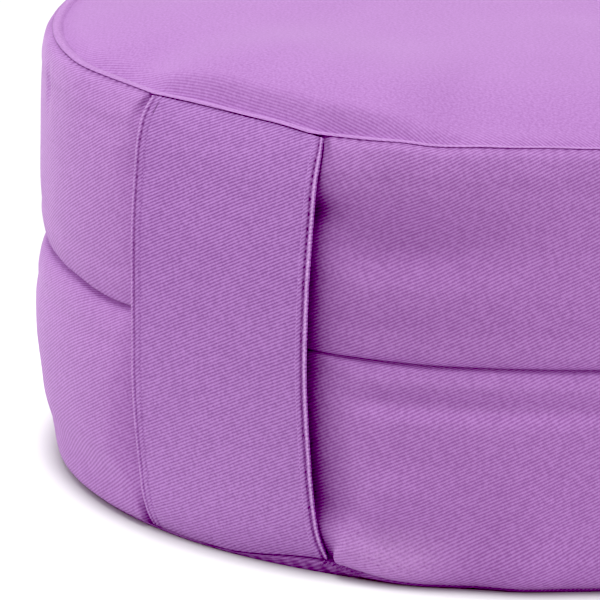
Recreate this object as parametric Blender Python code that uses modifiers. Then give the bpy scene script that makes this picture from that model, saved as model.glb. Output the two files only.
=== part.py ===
"""Round meditation cushion (zafu) with a flat carry handle sewn to its side.

Units are metres and Z is up. The origin is the middle of the flat base and the handle faces -Y.
The cover is sewn from four cloth panels: a top, an upper and a lower side band, and a base. Filled,
they make one solid: a crowned top, two bulged bands drawn in at three seams, and a flat underside.
The handle is a wide hemmed strap. Its ends are caught in the top and bottom seams, and it stands off
the drawn-in middle seam, so that fingers pass behind it.
"""

import math

import bmesh
import bpy
import numpy

# ---------------------------------------------------------------- cushion, driving sizes
TOP_SEAM_RADIUS = 0.1592
TOP_SEAM_HEIGHT = 0.1435
MIDDLE_SEAM_RADIUS = 0.1596
MIDDLE_SEAM_HEIGHT = 0.0732
BASE_SEAM_RADIUS = 0.1555
BASE_SEAM_HEIGHT = 0.0036
BASE_FLAT_RADIUS = 0.1490
CROWN_HEIGHT = 0.0135
CROWN_FULLNESS = 6.0
UPPER_BAND_BULGE = 0.0042
LOWER_BAND_BULGE = 0.0072
UPPER_BAND_SQUARENESS = 3.4
LOWER_BAND_SQUARENESS = 2.5
# How abruptly the bands roll out of each seam: higher is rounder.
TOP_SEAM_ROUNDNESS = 2.1
MIDDLE_SEAM_ROUNDNESS = 1.6
BASE_SEAM_ROUNDNESS = 1.8

# The seam allowance is turned up under the top panel and shows as a low ridge along the seam.
RIDGE_WIDTH = 0.0026
RIDGE_RISE = 0.0012
SEAM_LIP = 0.0004

CUSHION_SEGMENTS = 116
CROWN_ROWS = 9
UPPER_BAND_ROWS = 11
LOWER_BAND_ROWS = 12
# The turned cushion's columns stand closer together at the handle's edges.
EDGE_DIRECTION = 13.0
EDGE_SPREAD = 2.4
EDGE_CROWDING = 4.5

# ---------------------------------------------------------------- handle, driving sizes
HANDLE_HALF_WIDTH = 0.0358
HANDLE_THICKNESS = 0.0014
HEM_THICKNESS = 0.0019
HEM_WIDTH = 0.0038
HANDLE_EDGE_ROUNDING = 0.0005
HANDLE_ROWS = 34

# Outline of the handle seen from the side: the distance of its two edges from the cushion's axis,
# how much further out its middle bows, and its half width, which is less where it is gathered in.
HANDLE_SECTIONS = (
    # height, stand_off, bow, half_width
    (0.0038, 0.1502, 0.0048, 0.0358),
    (0.0080, 0.1527, 0.0042, 0.0357),
    (0.0140, 0.1554, 0.0034, 0.0356),
    (0.0220, 0.1577, 0.0026, 0.0356),
    (0.0330, 0.1600, 0.0020, 0.0355),
    (0.0480, 0.1618, 0.0016, 0.0354),
    (0.0660, 0.1628, 0.0013, 0.0351),
    (0.0860, 0.1630, 0.0011, 0.0353),
    (0.1040, 0.1625, 0.0010, 0.0357),
    (0.1200, 0.1611, 0.0008, 0.0360),
    (0.1310, 0.1597, 0.0005, 0.0360),
    (0.1385, 0.1573, 0.0002, 0.0354),
    (0.1432, 0.1547, 0.0000, 0.0338),
)
HANDLE_TOP_HALF_WIDTH = HANDLE_SECTIONS[-1][3]

# The side bands are pressed in behind the handle. The clearance is widest at the middle seam, where
# it is the finger gap, and closes to a touch near the handle's sewn ends.
SEWN_GAP = 0.00035
SEWN_CLEARANCE = 0.0004
BAND_CLEARANCE = 0.0016
HOLLOW_CLEARANCE = 0.0016
HOLLOW_HALF_HEIGHT = 0.030
FINGER_CLEARANCE = 0.0032
FINGER_GAP_HALF_HEIGHT = 0.0085
SEWN_END_LENGTH = 0.020
PRESSED_WIDTH = 0.0364
PRESSED_BLEND = 0.0070
SEWN_PRESSED_BLEND = 0.0020
PRESSED_BLEND_RISE = 0.0040

# ---------------------------------------------------------------- unevenness of the filled cover
# Each row lifts (or drops) a seam around one direction: degrees from the handle towards +X.
TOP_SEAM_WANDER = (
    # direction, half_spread, lift
    (-9.0, 13.0, 0.0006),
    (13.5, 9.0, -0.0010),
    (27.0, 5.0, -0.0008),
    (75.0, 24.0, 0.0007),
    (128.0, 30.0, -0.0009),
    (176.0, 26.0, 0.0008),
    (-132.0, 22.0, -0.0007),
    (-84.0, 25.0, 0.0009),
)
MIDDLE_SEAM_WANDER = (
    # direction, half_spread, lift
    (-20.0, 10.0, -0.0009),
    (24.0, 12.0, -0.0005),
    (92.0, 30.0, 0.0010),
    (150.0, 26.0, -0.0008),
    (-150.0, 28.0, 0.0009),
    (-85.0, 26.0, -0.0006),
)
# Above the handle the filling pushes the top panel up into a steeper shoulder.
SHOULDER_DIRECTION = 6.0
SHOULDER_HALF_SPREAD = 19.0
SHOULDER_RISE = 0.0036
SHOULDER_SETBACK = 0.006
SHOULDER_DEPTH = 0.055

# Broad lumps of the loose filling: waves around the cushion and up its side.
FILLING_LUMPS = (
    # waves_around, waves_up, phase, height
    (3, 1.0, 0.4, 0.0006),
    (5, 2.0, 2.1, 0.0005),
    (8, 3.0, 4.4, 0.0003),
    (13, 2.0, 1.3, 0.0002),
)
# Soft puckers where the cloth is gathered into a seam: dents that run away from the seam.
PUCKER_HALF_SPREAD = 4.6
PUCKERS = (
    # direction, seam_height, reach, depth
    (-51.0, TOP_SEAM_HEIGHT, 0.034, 0.0016),
    (27.5, TOP_SEAM_HEIGHT, 0.020, 0.0009),
    (39.0, TOP_SEAM_HEIGHT, 0.016, 0.0008),
    (64.0, TOP_SEAM_HEIGHT, 0.024, 0.0010),
    (101.0, TOP_SEAM_HEIGHT, 0.030, 0.0012),
    (139.0, TOP_SEAM_HEIGHT, 0.022, 0.0009),
    (168.0, TOP_SEAM_HEIGHT, 0.028, 0.0011),
    (-152.0, TOP_SEAM_HEIGHT, 0.020, 0.0010),
    (-117.0, TOP_SEAM_HEIGHT, 0.030, 0.0012),
    (-80.0, TOP_SEAM_HEIGHT, 0.022, 0.0009),
    (-33.0, BASE_SEAM_HEIGHT, 0.018, 0.0008),
    (30.0, BASE_SEAM_HEIGHT, 0.016, 0.0009),
    (84.0, BASE_SEAM_HEIGHT, 0.024, 0.0012),
    (147.0, BASE_SEAM_HEIGHT, 0.022, 0.0010),
    (-141.0, BASE_SEAM_HEIGHT, 0.024, 0.0012),
    (-92.0, BASE_SEAM_HEIGHT, 0.020, 0.0010),
    (55.0, MIDDLE_SEAM_HEIGHT, 0.016, 0.0007),
    (121.0, MIDDLE_SEAM_HEIGHT, 0.018, 0.0008),
    (-167.0, MIDDLE_SEAM_HEIGHT, 0.016, 0.0007),
    (-104.0, MIDDLE_SEAM_HEIGHT, 0.018, 0.0008),
)
# Shallow hollows where the filling has settled away from the cloth.
HOLLOWS = (
    # direction, half_spread, height, half_height, depth
    (20.0, 16.0, 0.1225, 0.012, 0.0012),
    (16.0, 8.0, 0.0180, 0.010, 0.0010),
    (88.0, 18.0, 0.0300, 0.014, 0.0009),
    (146.0, 20.0, 0.1180, 0.013, 0.0011),
    (-158.0, 18.0, 0.0360, 0.014, 0.0010),
    (-101.0, 20.0, 0.1200, 0.012, 0.0010),
    (-62.0, 14.0, 0.0280, 0.012, 0.0008),
)

TWILL_COLOR = (0.391, 0.162, 0.479, 1.0)
HANDLE_COLOR = (0.400, 0.168, 0.488, 1.0)
CLOTH_ROUGHNESS = 0.88


# ---------------------------------------------------------------- small helpers
def clear_scene():
    """Remove whatever the file opened with."""
    for item in list(bpy.data.objects):
        bpy.data.objects.remove(item, do_unlink=True)


def smooth_step(low, high, value):
    """0 below low, 1 above high, and an even S curve between them."""
    share = min(1.0, max(0.0, (value - low) / (high - low)))
    return share * share * (3.0 - 2.0 * share)


def soft_bump(value, centre, half_spread):
    """A round bump of height 1 at its centre, 0 past its half spread."""
    share = abs(value - centre) / half_spread
    return 0.0 if share >= 1.0 else math.cos(0.5 * math.pi * share) ** 2


def turn_between(direction, centre):
    """Signed angle in degrees from one direction to another, by the shorter way round."""
    return (direction - centre + 180.0) % 360.0 - 180.0


def seam_lift(direction, wander):
    """How far a seam is lifted in one direction, in degrees from the handle."""
    return sum(lift * soft_bump(turn_between(direction, centre), 0.0, half_spread)
               for centre, half_spread, lift in wander)


def smooth_table(rows, column, height):
    """Read one column of a table at a height, on a smooth curve through its rows."""
    last = len(rows) - 1
    height = min(max(height, rows[0][0]), rows[last][0])
    index = 0
    while index < last - 1 and height > rows[index + 1][0]:
        index += 1
    low, high = rows[index], rows[index + 1]
    before, after = rows[max(index - 1, 0)], rows[min(index + 2, last)]
    span = high[0] - low[0]
    share = (height - low[0]) / span
    slope_low = (high[column] - before[column]) / (high[0] - before[0]) * span
    slope_high = (after[column] - low[column]) / (after[0] - low[0]) * span
    square, cube = share ** 2, share ** 3
    return ((2 * cube - 3 * square + 1) * low[column] + (cube - 2 * square + share) * slope_low
            + (3 * square - 2 * cube) * high[column] + (cube - square) * slope_high)


def cloth_material(name, color):
    """Plain matt cloth."""
    material = bpy.data.materials.new(name)
    material.use_nodes = True
    shader = material.node_tree.nodes["Principled BSDF"]
    shader.inputs["Base Color"].default_value = color
    shader.inputs["Roughness"].default_value = CLOTH_ROUGHNESS
    shader.inputs["Metallic"].default_value = 0.0
    return material


def finish_part(part, material, collection):
    """Dress a part, shade it smooth and file it in the cushion's collection."""
    part.data.materials.clear()
    part.data.materials.append(material)
    part.data.shade_smooth()
    collection.objects.link(part)


# ---------------------------------------------------------------- the cushion's turned profile
def crown_profile():
    """Top panel, from the middle of the crown out to the inner foot of the seam ridge."""
    foot_radius = TOP_SEAM_RADIUS - RIDGE_WIDTH
    points = []
    for row in range(CROWN_ROWS):
        share = math.sin(0.5 * math.pi * row / (CROWN_ROWS - 1))
        fall = share ** CROWN_FULLNESS
        points.append((foot_radius * share, TOP_SEAM_HEIGHT + SEAM_LIP + CROWN_HEIGHT * (1.0 - fall)))
    return points


def ridge_profile():
    """The low ridge over the seam allowance, out to its lip above the top seam."""
    return [
        (TOP_SEAM_RADIUS - 0.75 * RIDGE_WIDTH, TOP_SEAM_HEIGHT + SEAM_LIP + 0.75 * RIDGE_RISE),
        (TOP_SEAM_RADIUS - 0.35 * RIDGE_WIDTH, TOP_SEAM_HEIGHT + SEAM_LIP + RIDGE_RISE),
        (TOP_SEAM_RADIUS + SEAM_LIP, TOP_SEAM_HEIGHT + SEAM_LIP),
    ]


def band_profile(upper_seam, lower_seam, bulge, squareness, roundness, rows):
    """One side band, bulged between its two seams, with its rows closest together at the seams."""
    points = []
    for row in range(rows + 1):
        share = 0.5 - 0.5 * math.cos(math.pi * row / rows)
        radius = upper_seam[0] + (lower_seam[0] - upper_seam[0]) * share
        height = upper_seam[1] + (lower_seam[1] - upper_seam[1]) * share
        roll = roundness[0] + (roundness[1] - roundness[0]) * share
        fullness = (1.0 - abs(2.0 * share - 1.0) ** squareness) ** (1.0 / roll)
        points.append((radius + bulge * fullness, height))
    return points


def base_profile():
    """Base panel: it rolls under from the bottom seam to the flat disc that rests on the floor."""
    roll = BASE_SEAM_RADIUS - BASE_FLAT_RADIUS
    points = []
    for radius_share, height_share in ((1.0, 0.88), (0.82, 0.50), (0.52, 0.16), (0.0, 0.0)):
        points.append((BASE_FLAT_RADIUS + roll * radius_share, BASE_SEAM_HEIGHT * height_share))
    for share in (0.70, 0.36, 0.0):
        points.append((BASE_FLAT_RADIUS * share, 0.0))
    return points


def cushion_profile():
    """The whole outline, from the middle of the crown down the side to the middle of the base."""
    top_seam = (TOP_SEAM_RADIUS, TOP_SEAM_HEIGHT)
    middle_seam = (MIDDLE_SEAM_RADIUS, MIDDLE_SEAM_HEIGHT)
    base_seam = (BASE_SEAM_RADIUS, BASE_SEAM_HEIGHT)
    upper = band_profile(top_seam, middle_seam, UPPER_BAND_BULGE, UPPER_BAND_SQUARENESS,
                         (TOP_SEAM_ROUNDNESS, MIDDLE_SEAM_ROUNDNESS), UPPER_BAND_ROWS)
    lower = band_profile(middle_seam, base_seam, LOWER_BAND_BULGE, LOWER_BAND_SQUARENESS,
                         (MIDDLE_SEAM_ROUNDNESS, BASE_SEAM_ROUNDNESS), LOWER_BAND_ROWS)
    return crown_profile() + ridge_profile() + upper + lower[1:] + base_profile()


def turned_mesh(name, outline):
    """Turn an outline about the Z axis into a closed mesh."""
    profile = bpy.data.meshes.new(name + "_profile")
    profile.from_pydata([(radius, 0.0, height) for radius, height in outline],
                        [(index, index + 1) for index in range(len(outline) - 1)], [])
    turning = bpy.data.objects.new(name + "_turning", profile)
    bpy.context.scene.collection.objects.link(turning)
    screw = turning.modifiers.new("turn", "SCREW")
    screw.axis = "Z"
    screw.angle = 2.0 * math.pi
    screw.steps = CUSHION_SEGMENTS
    screw.render_steps = CUSHION_SEGMENTS
    screw.use_merge_vertices = True
    screw.merge_threshold = 0.00001
    depsgraph = bpy.context.evaluated_depsgraph_get()
    turned = bpy.data.meshes.new_from_object(turning.evaluated_get(depsgraph))
    turned.name = name
    bpy.data.objects.remove(turning, do_unlink=True)
    bpy.data.meshes.remove(profile)
    return turned


def column_directions():
    """Directions of the evenly turned columns, and where they go when crowded at the handle."""
    fine = numpy.linspace(-180.0, 180.0, 2881)
    crowding = 1.0 + EDGE_CROWDING * numpy.exp(-((numpy.abs(fine) - EDGE_DIRECTION) / EDGE_SPREAD) ** 2)
    passed = numpy.concatenate(([0.0], numpy.cumsum(0.5 * (crowding[1:] + crowding[:-1]))))
    return passed / passed[-1] * 360.0 - 180.0, fine


# ---------------------------------------------------------------- how the filled cover settles
def handle_stand_off(height):
    """Distance of the handle's two edges from the cushion's axis."""
    return smooth_table(HANDLE_SECTIONS, 1, height)


def handle_bow(height):
    """How much further out than its edges the handle's middle stands."""
    return smooth_table(HANDLE_SECTIONS, 2, height)


def handle_depth(height):
    """Thickness of the handle's hems measured straight inwards, deeper where the handle slopes."""
    step = 0.001
    slope = (handle_stand_off(height + step) - handle_stand_off(height - step)) / (2.0 * step)
    return HEM_THICKNESS * math.sqrt(1.0 + slope * slope)


def handle_clearance(height):
    """Room between the handle's back and the side band behind it."""
    from_end = min(TOP_SEAM_HEIGHT - height, height - BASE_SEAM_HEIGHT)
    opened = smooth_step(0.0, SEWN_END_LENGTH, from_end)
    touch = SEWN_CLEARANCE + (BAND_CLEARANCE - SEWN_CLEARANCE) * opened
    from_middle = height - MIDDLE_SEAM_HEIGHT
    hollow = HOLLOW_CLEARANCE * math.exp(-(from_middle / HOLLOW_HALF_HEIGHT) ** 2)
    groove = FINGER_CLEARANCE * math.exp(-(from_middle / FINGER_GAP_HALF_HEIGHT) ** 2)
    return touch + hollow + groove


def pressed_distance(across, height, direction_lift):
    """Furthest that a side band may reach towards -Y behind and beside the handle."""
    level = height - direction_lift
    back = handle_stand_off(level) - handle_depth(level) - handle_clearance(level)
    sewn = 1.0 - smooth_step(0.0, SEWN_END_LENGTH,
                             min(TOP_SEAM_HEIGHT - level, level - BASE_SEAM_HEIGHT))
    share = min(1.0, abs(across) / HANDLE_HALF_WIDTH)
    back += sewn * handle_bow(level) * (1.0 - share * share)
    blend = PRESSED_BLEND + (SEWN_PRESSED_BLEND - PRESSED_BLEND) * sewn
    beside = max(0.0, abs(across) - PRESSED_WIDTH) / blend
    return back + PRESSED_BLEND_RISE * beside * beside


def lower_of(first, second, rounding=0.0006):
    """The smaller of two distances, with the change-over rounded."""
    gap = max(0.0, rounding - abs(first - second)) / rounding
    return min(first, second) - 0.25 * rounding * gap * gap


def filling_lump(direction, height):
    """How far the loose filling pushes the cover out, or leaves it slack."""
    lump = 0.0
    for waves_around, waves_up, phase, size in FILLING_LUMPS:
        upward = math.cos(waves_up * math.pi * height / TOP_SEAM_HEIGHT + phase)
        lump += size * math.sin(waves_around * direction + phase) * upward
    return lump


def cloth_dent(degrees, height):
    """Depth of the puckers and hollows at a point of the side."""
    dent = 0.0
    for centre, half_spread, level, half_height, depth in HOLLOWS:
        across = soft_bump(turn_between(degrees, centre), 0.0, half_spread)
        dent += depth * across * soft_bump(height, level, half_height)
    for centre, seam_height, reach, depth in PUCKERS:
        along = soft_bump(turn_between(degrees, centre), 0.0, PUCKER_HALF_SPREAD)
        away = abs(height - seam_height) / reach
        if along > 0.0 and away < 1.0:
            dent += depth * along * (1.0 - away) ** 2
    return dent


def settled(radius, direction, height):
    """Where a point of the turned outline lies once the cover is filled and the handle is on."""
    degrees = math.degrees(direction)
    # seams wander up and down, and the cloth between them follows
    top_share = smooth_step(MIDDLE_SEAM_HEIGHT, TOP_SEAM_HEIGHT, height)
    middle_share = (smooth_step(BASE_SEAM_HEIGHT, MIDDLE_SEAM_HEIGHT, height)
                    * (1.0 - smooth_step(MIDDLE_SEAM_HEIGHT, TOP_SEAM_HEIGHT, height)))
    inside = smooth_step(0.55 * TOP_SEAM_RADIUS, TOP_SEAM_RADIUS, radius)
    lift = inside * (top_share * seam_lift(degrees, TOP_SEAM_WANDER)
                     + middle_share * seam_lift(degrees, MIDDLE_SEAM_WANDER))
    # lumps of filling and puckers, dying out at the base and in the middle of the crown
    aloft = smooth_step(BASE_SEAM_HEIGHT, 4.0 * BASE_SEAM_HEIGHT, height)
    lump = filling_lump(direction, height)
    on_top = height > TOP_SEAM_HEIGHT + 0.5 * SEAM_LIP
    if on_top:
        lift += (1.0 - inside) * smooth_step(0.0, 0.6 * TOP_SEAM_RADIUS, radius) * lump
        setback = TOP_SEAM_RADIUS - RIDGE_WIDTH - radius
        shoulder = (smooth_step(0.0, SHOULDER_SETBACK, setback)
                    * (1.0 - smooth_step(SHOULDER_SETBACK, SHOULDER_DEPTH, setback)))
        lift += SHOULDER_RISE * shoulder * soft_bump(degrees, SHOULDER_DIRECTION, SHOULDER_HALF_SPREAD)
    radius += aloft * inside * (lump - cloth_dent(degrees, height))
    across = radius * math.sin(direction)
    towards = radius * math.cos(direction)
    height += lift
    if on_top:
        # the top seam runs straight across the handle's sewn end
        straight = handle_stand_off(TOP_SEAM_HEIGHT) - (TOP_SEAM_RADIUS - radius)
        beside = max(0.0, abs(across) - HANDLE_TOP_HALF_WIDTH) / PRESSED_BLEND
        straight += PRESSED_BLEND_RISE * beside * beside
        towards += inside * (lower_of(towards, straight) - towards)
    elif height > BASE_SEAM_HEIGHT - SEAM_LIP and towards > 0.0:
        towards = lower_of(towards, pressed_distance(across, height, lift))
    return across, -towards, height


def build_cushion(collection):
    """The filled cushion: the turned outline, then settled point by point."""
    mesh = turned_mesh("cushion_body", cushion_profile())
    even_directions, crowded_directions = column_directions()
    for vertex in mesh.vertices:
        x, y, height = vertex.co
        even = math.degrees(math.atan2(x, -y))
        crowded = float(numpy.interp(even, even_directions, crowded_directions))
        vertex.co = settled(math.hypot(x, y), math.radians(crowded), height)
    cushion = bpy.data.objects.new("cushion_body", mesh)
    finish_part(cushion, cloth_material("plum_twill", TWILL_COLOR), collection)
    return cushion


# ---------------------------------------------------------------- the handle
def handle_point(across_share, up_share):
    """A point of the handle's outer face: shares run -1 to 1 across it and 0 to 1 up it."""
    bottom = BASE_SEAM_HEIGHT + SEWN_GAP
    top = TOP_SEAM_HEIGHT - SEWN_GAP
    level = bottom + (top - bottom) * up_share
    across = smooth_table(HANDLE_SECTIONS, 3, level) * across_share
    direction = math.degrees(math.atan2(across, handle_stand_off(TOP_SEAM_HEIGHT)))
    lift = seam_lift(direction, TOP_SEAM_WANDER) * smooth_step(MIDDLE_SEAM_HEIGHT, TOP_SEAM_HEIGHT, level)
    outward = handle_stand_off(level) + handle_bow(level) * (1.0 - across_share ** 2)
    return across, -outward, level + lift


def handle_stations():
    """Where the handle's grid lines run across it, -1 to 1, with lines at both hems."""
    hem = 1.0 - HEM_WIDTH / HANDLE_HALF_WIDTH
    inner = [hem * step / 4.0 for step in range(5)]
    half = inner + [0.5 * (1.0 + hem), 1.0]
    return [-share for share in reversed(half[1:])] + half


def build_handle(collection):
    """The handle: a grid bent to the strap's outer face, thickened inwards, thicker at its hems."""
    stations = handle_stations()
    columns = len(stations) - 1
    sheet = bmesh.new()
    bmesh.ops.create_grid(sheet, x_segments=columns, y_segments=HANDLE_ROWS, size=1.0)
    hem_layer = sheet.verts.layers.deform.verify()
    hem_start = 1.0 - HEM_WIDTH / HANDLE_HALF_WIDTH
    for vertex in sheet.verts:
        column = round((vertex.co.x + 1.0) * 0.5 * columns)
        up_share = 0.5 - 0.5 * math.cos(math.pi * (vertex.co.y + 1.0) * 0.5)
        across_share = stations[column]
        if abs(across_share) > hem_start + 0.001:
            vertex[hem_layer][0] = 1.0
        vertex.co = handle_point(across_share, up_share)
    # The grid's rows run up the strap, so its faces look towards -Y, away from the cushion.
    mesh = bpy.data.meshes.new("carry_handle")
    sheet.to_mesh(mesh)
    sheet.free()
    handle = bpy.data.objects.new("carry_handle", mesh)
    handle.vertex_groups.new(name="hem")
    thicken = handle.modifiers.new("thickness", "SOLIDIFY")
    thicken.thickness = HEM_THICKNESS
    thicken.offset = -1.0
    thicken.use_even_offset = True
    thicken.vertex_group = "hem"
    thicken.thickness_vertex_group = HANDLE_THICKNESS / HEM_THICKNESS
    rounding = handle.modifiers.new("soft_edges", "BEVEL")
    rounding.width = HANDLE_EDGE_ROUNDING
    rounding.segments = 1
    rounding.limit_method = "ANGLE"
    rounding.angle_limit = math.radians(60.0)
    finish_part(handle, cloth_material("plum_twill_handle", HANDLE_COLOR), collection)
    return handle


def main():
    """Build the cushion and its handle in one collection."""
    clear_scene()
    collection = bpy.data.collections.new("meditation_cushion")
    bpy.context.scene.collection.children.link(collection)
    build_cushion(collection)
    build_handle(collection)


main()
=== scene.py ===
"""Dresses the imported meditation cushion: a sewn and filled twill cover, and its hemmed carry strap.

Units are metres, Z is up, the origin is the middle of the flat base and the strap faces -Y.
Directions around the cushion are in degrees from the strap towards +X.
"""

import logging
import math
from dataclasses import dataclass
from enum import Enum
from typing import Callable, Sequence

import bmesh
import bpy
import numpy as np
from mathutils import Matrix, Vector, noise


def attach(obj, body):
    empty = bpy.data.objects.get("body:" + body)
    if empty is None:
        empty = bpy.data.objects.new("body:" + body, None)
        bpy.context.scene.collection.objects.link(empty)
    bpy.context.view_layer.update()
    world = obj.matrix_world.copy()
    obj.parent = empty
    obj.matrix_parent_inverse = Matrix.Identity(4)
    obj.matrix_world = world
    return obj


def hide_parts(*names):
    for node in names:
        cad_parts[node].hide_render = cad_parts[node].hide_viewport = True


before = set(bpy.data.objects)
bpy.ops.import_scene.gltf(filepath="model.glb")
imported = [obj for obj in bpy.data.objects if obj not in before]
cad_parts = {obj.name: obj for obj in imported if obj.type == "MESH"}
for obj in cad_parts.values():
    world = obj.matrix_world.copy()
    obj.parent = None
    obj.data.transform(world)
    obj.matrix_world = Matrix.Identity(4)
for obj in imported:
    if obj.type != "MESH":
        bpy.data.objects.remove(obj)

log = logging.getLogger("meditation_cushion")

MM = 0.001
BACK_FADE = (105.0, 165.0)
CORNER_STITCHES = 9
CORNER_START = 13.3
CORNER_STEP = 0.62
Color = tuple[float, float, float, float]
Table = Sequence[tuple[float, ...]]
Places = list[tuple[Vector, Vector, Vector]]
Array = np.ndarray
Socket = bpy.types.NodeSocket
Mesh = bpy.types.Mesh
Material = bpy.types.Material


# ---------------------------------------------------------------- shared shaping functions
def smooth_step(low: float, high: float, value: Array) -> Array:
    """0 below low, 1 above high, and an even S curve between them.

    Args:
        low: Value where the curve leaves 0.
        high: Value where the curve reaches 1.
        value: Where to read the curve.

    Returns:
        The curve's height at each value.
    """
    share = np.clip((value - low) / (high - low), 0.0, 1.0)
    return share * share * (3.0 - 2.0 * share)


def soft_bump(offset: Array, half_spread: float) -> Array:
    """A round bump of height 1 at offset 0, and 0 past its half spread.

    Args:
        offset: Distance from the bump's middle.
        half_spread: Distance at which the bump has died out.

    Returns:
        The bump's height at each offset.
    """
    share = np.clip(np.abs(offset) / half_spread, 0.0, 1.0)
    return np.cos(0.5 * math.pi * share) ** 2


def turn_between(direction: Array, centre: float) -> Array:
    """Signed angle in degrees from a centre to each direction, by the shorter way round."""
    return (direction - centre + 180.0) % 360.0 - 180.0


def around(degrees: Array, centre: float, half_spread: float) -> Array:
    """A soft bump on one direction around the cushion."""
    return soft_bump(turn_between(degrees, centre), half_spread)


def right_of_strap(low: float, high: float, degrees: Array) -> Array:
    """Rise from 0 to 1 to the right of the strap, and fall to 0 again before the cushion's back."""
    return smooth_step(low, high, degrees) * (1.0 - smooth_step(*BACK_FADE, degrees))


def smooth_table(rows: Table, column: int, at: Array) -> Array:
    """Read one column of a table on a smooth curve through its rows.

    Args:
        rows: The table, sorted by its first column.
        column: Which column to read.
        at: Values of the first column to read it at.

    Returns:
        The column's value at each place.
    """
    keys = np.array([row[0] for row in rows])
    values = np.array([row[column] for row in rows])
    slopes = np.gradient(values, keys)
    at = np.clip(at, keys[0], keys[-1])
    index = np.clip(np.searchsorted(keys, at, side="right") - 1, 0, len(keys) - 2)
    span = keys[index + 1] - keys[index]
    share = (at - keys[index]) / span
    square, cube = share ** 2, share ** 3
    return ((2 * cube - 3 * square + 1) * values[index]
            + (cube - 2 * square + share) * span * slopes[index]
            + (3 * square - 2 * cube) * values[index + 1]
            + (cube - square) * span * slopes[index + 1])


def lower_of(first: Array, second: Array, rounding: float) -> Array:
    """The smaller of two distances, with the change-over rounded.

    Args:
        first: One distance.
        second: The other distance.
        rounding: How close the two are where the rounding begins.

    Returns:
        The smaller distance, a little less near the change-over.
    """
    gap = np.clip(rounding - np.abs(first - second), 0.0, None) / rounding
    return np.minimum(first, second) - 0.25 * rounding * gap * gap


def rough(points: Array, wavelength: float, seed: float) -> Array:
    """Smooth unevenness between about -1 and 1, the same on each run.

    Args:
        points: Places in the cushion's frame, one row each.
        wavelength: Distance over which it changes, in metres.
        seed: Picks one pattern.

    Returns:
        One value a point.
    """
    shift = Vector((seed, 2.0 * seed, -seed))
    return np.array([noise.noise(Vector(point) / wavelength + shift) for point in points])


# ---------------------------------------------------------------- finishes
class NodeSketch:
    """Adds and joins the nodes of one material."""

    def __init__(self, material: Material) -> None:
        """Start on a material that holds only its Principled shader."""
        material.use_nodes = True
        self.tree = material.node_tree
        self.shader = self.tree.nodes["Principled BSDF"]

    def node(self, kind: str, **settings: object) -> bpy.types.Node:
        """Add a node and set its properties."""
        made = self.tree.nodes.new(kind)
        for name, value in settings.items():
            setattr(made, name, value)
        return made

    def settle(self, values: dict[str, object]) -> None:
        """Set the shader's own sockets."""
        for name, value in values.items():
            self.shader.inputs[name].default_value = value

    def feed(self, socket: Socket, value: object) -> None:
        """Give an input its value, or join it to another node's output."""
        if isinstance(value, Socket):
            self.tree.links.new(value, socket)
        else:
            socket.default_value = value

    def math(self, operation: str, *inputs: object) -> Socket:
        """Work out a number from one to three inputs."""
        made = self.node("ShaderNodeMath", operation=operation)
        for socket, value in zip(made.inputs, inputs):
            self.feed(socket, value)
        return made.outputs[0]

    def times(self, first: object, second: object) -> Socket:
        """The product of two numbers."""
        return self.math("MULTIPLY", first, second)

    def weigh(self, value: object, factor: object, rest: object) -> Socket:
        """A number times a factor, added to the rest."""
        return self.math("MULTIPLY_ADD", value, factor, rest)

    def noise(self, where: Socket, scale: float, detail: float) -> Socket:
        """Noise around 0, between about -0.5 and 0.5."""
        made = self.node("ShaderNodeTexNoise", noise_dimensions="3D")
        self.feed(made.inputs["Vector"], where)
        self.feed(made.inputs["Scale"], scale)
        self.feed(made.inputs["Detail"], detail)
        return self.math("SUBTRACT", made.outputs["Fac"], 0.5)

    def mix(self, share: object, first: object, second: object) -> Socket:
        """Mix two colours."""
        made = self.node("ShaderNodeMix", data_type="RGBA")
        self.feed(made.inputs["Factor"], share)
        self.feed(made.inputs["A"], first)
        self.feed(made.inputs["B"], second)
        return made.outputs["Result"]


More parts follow.
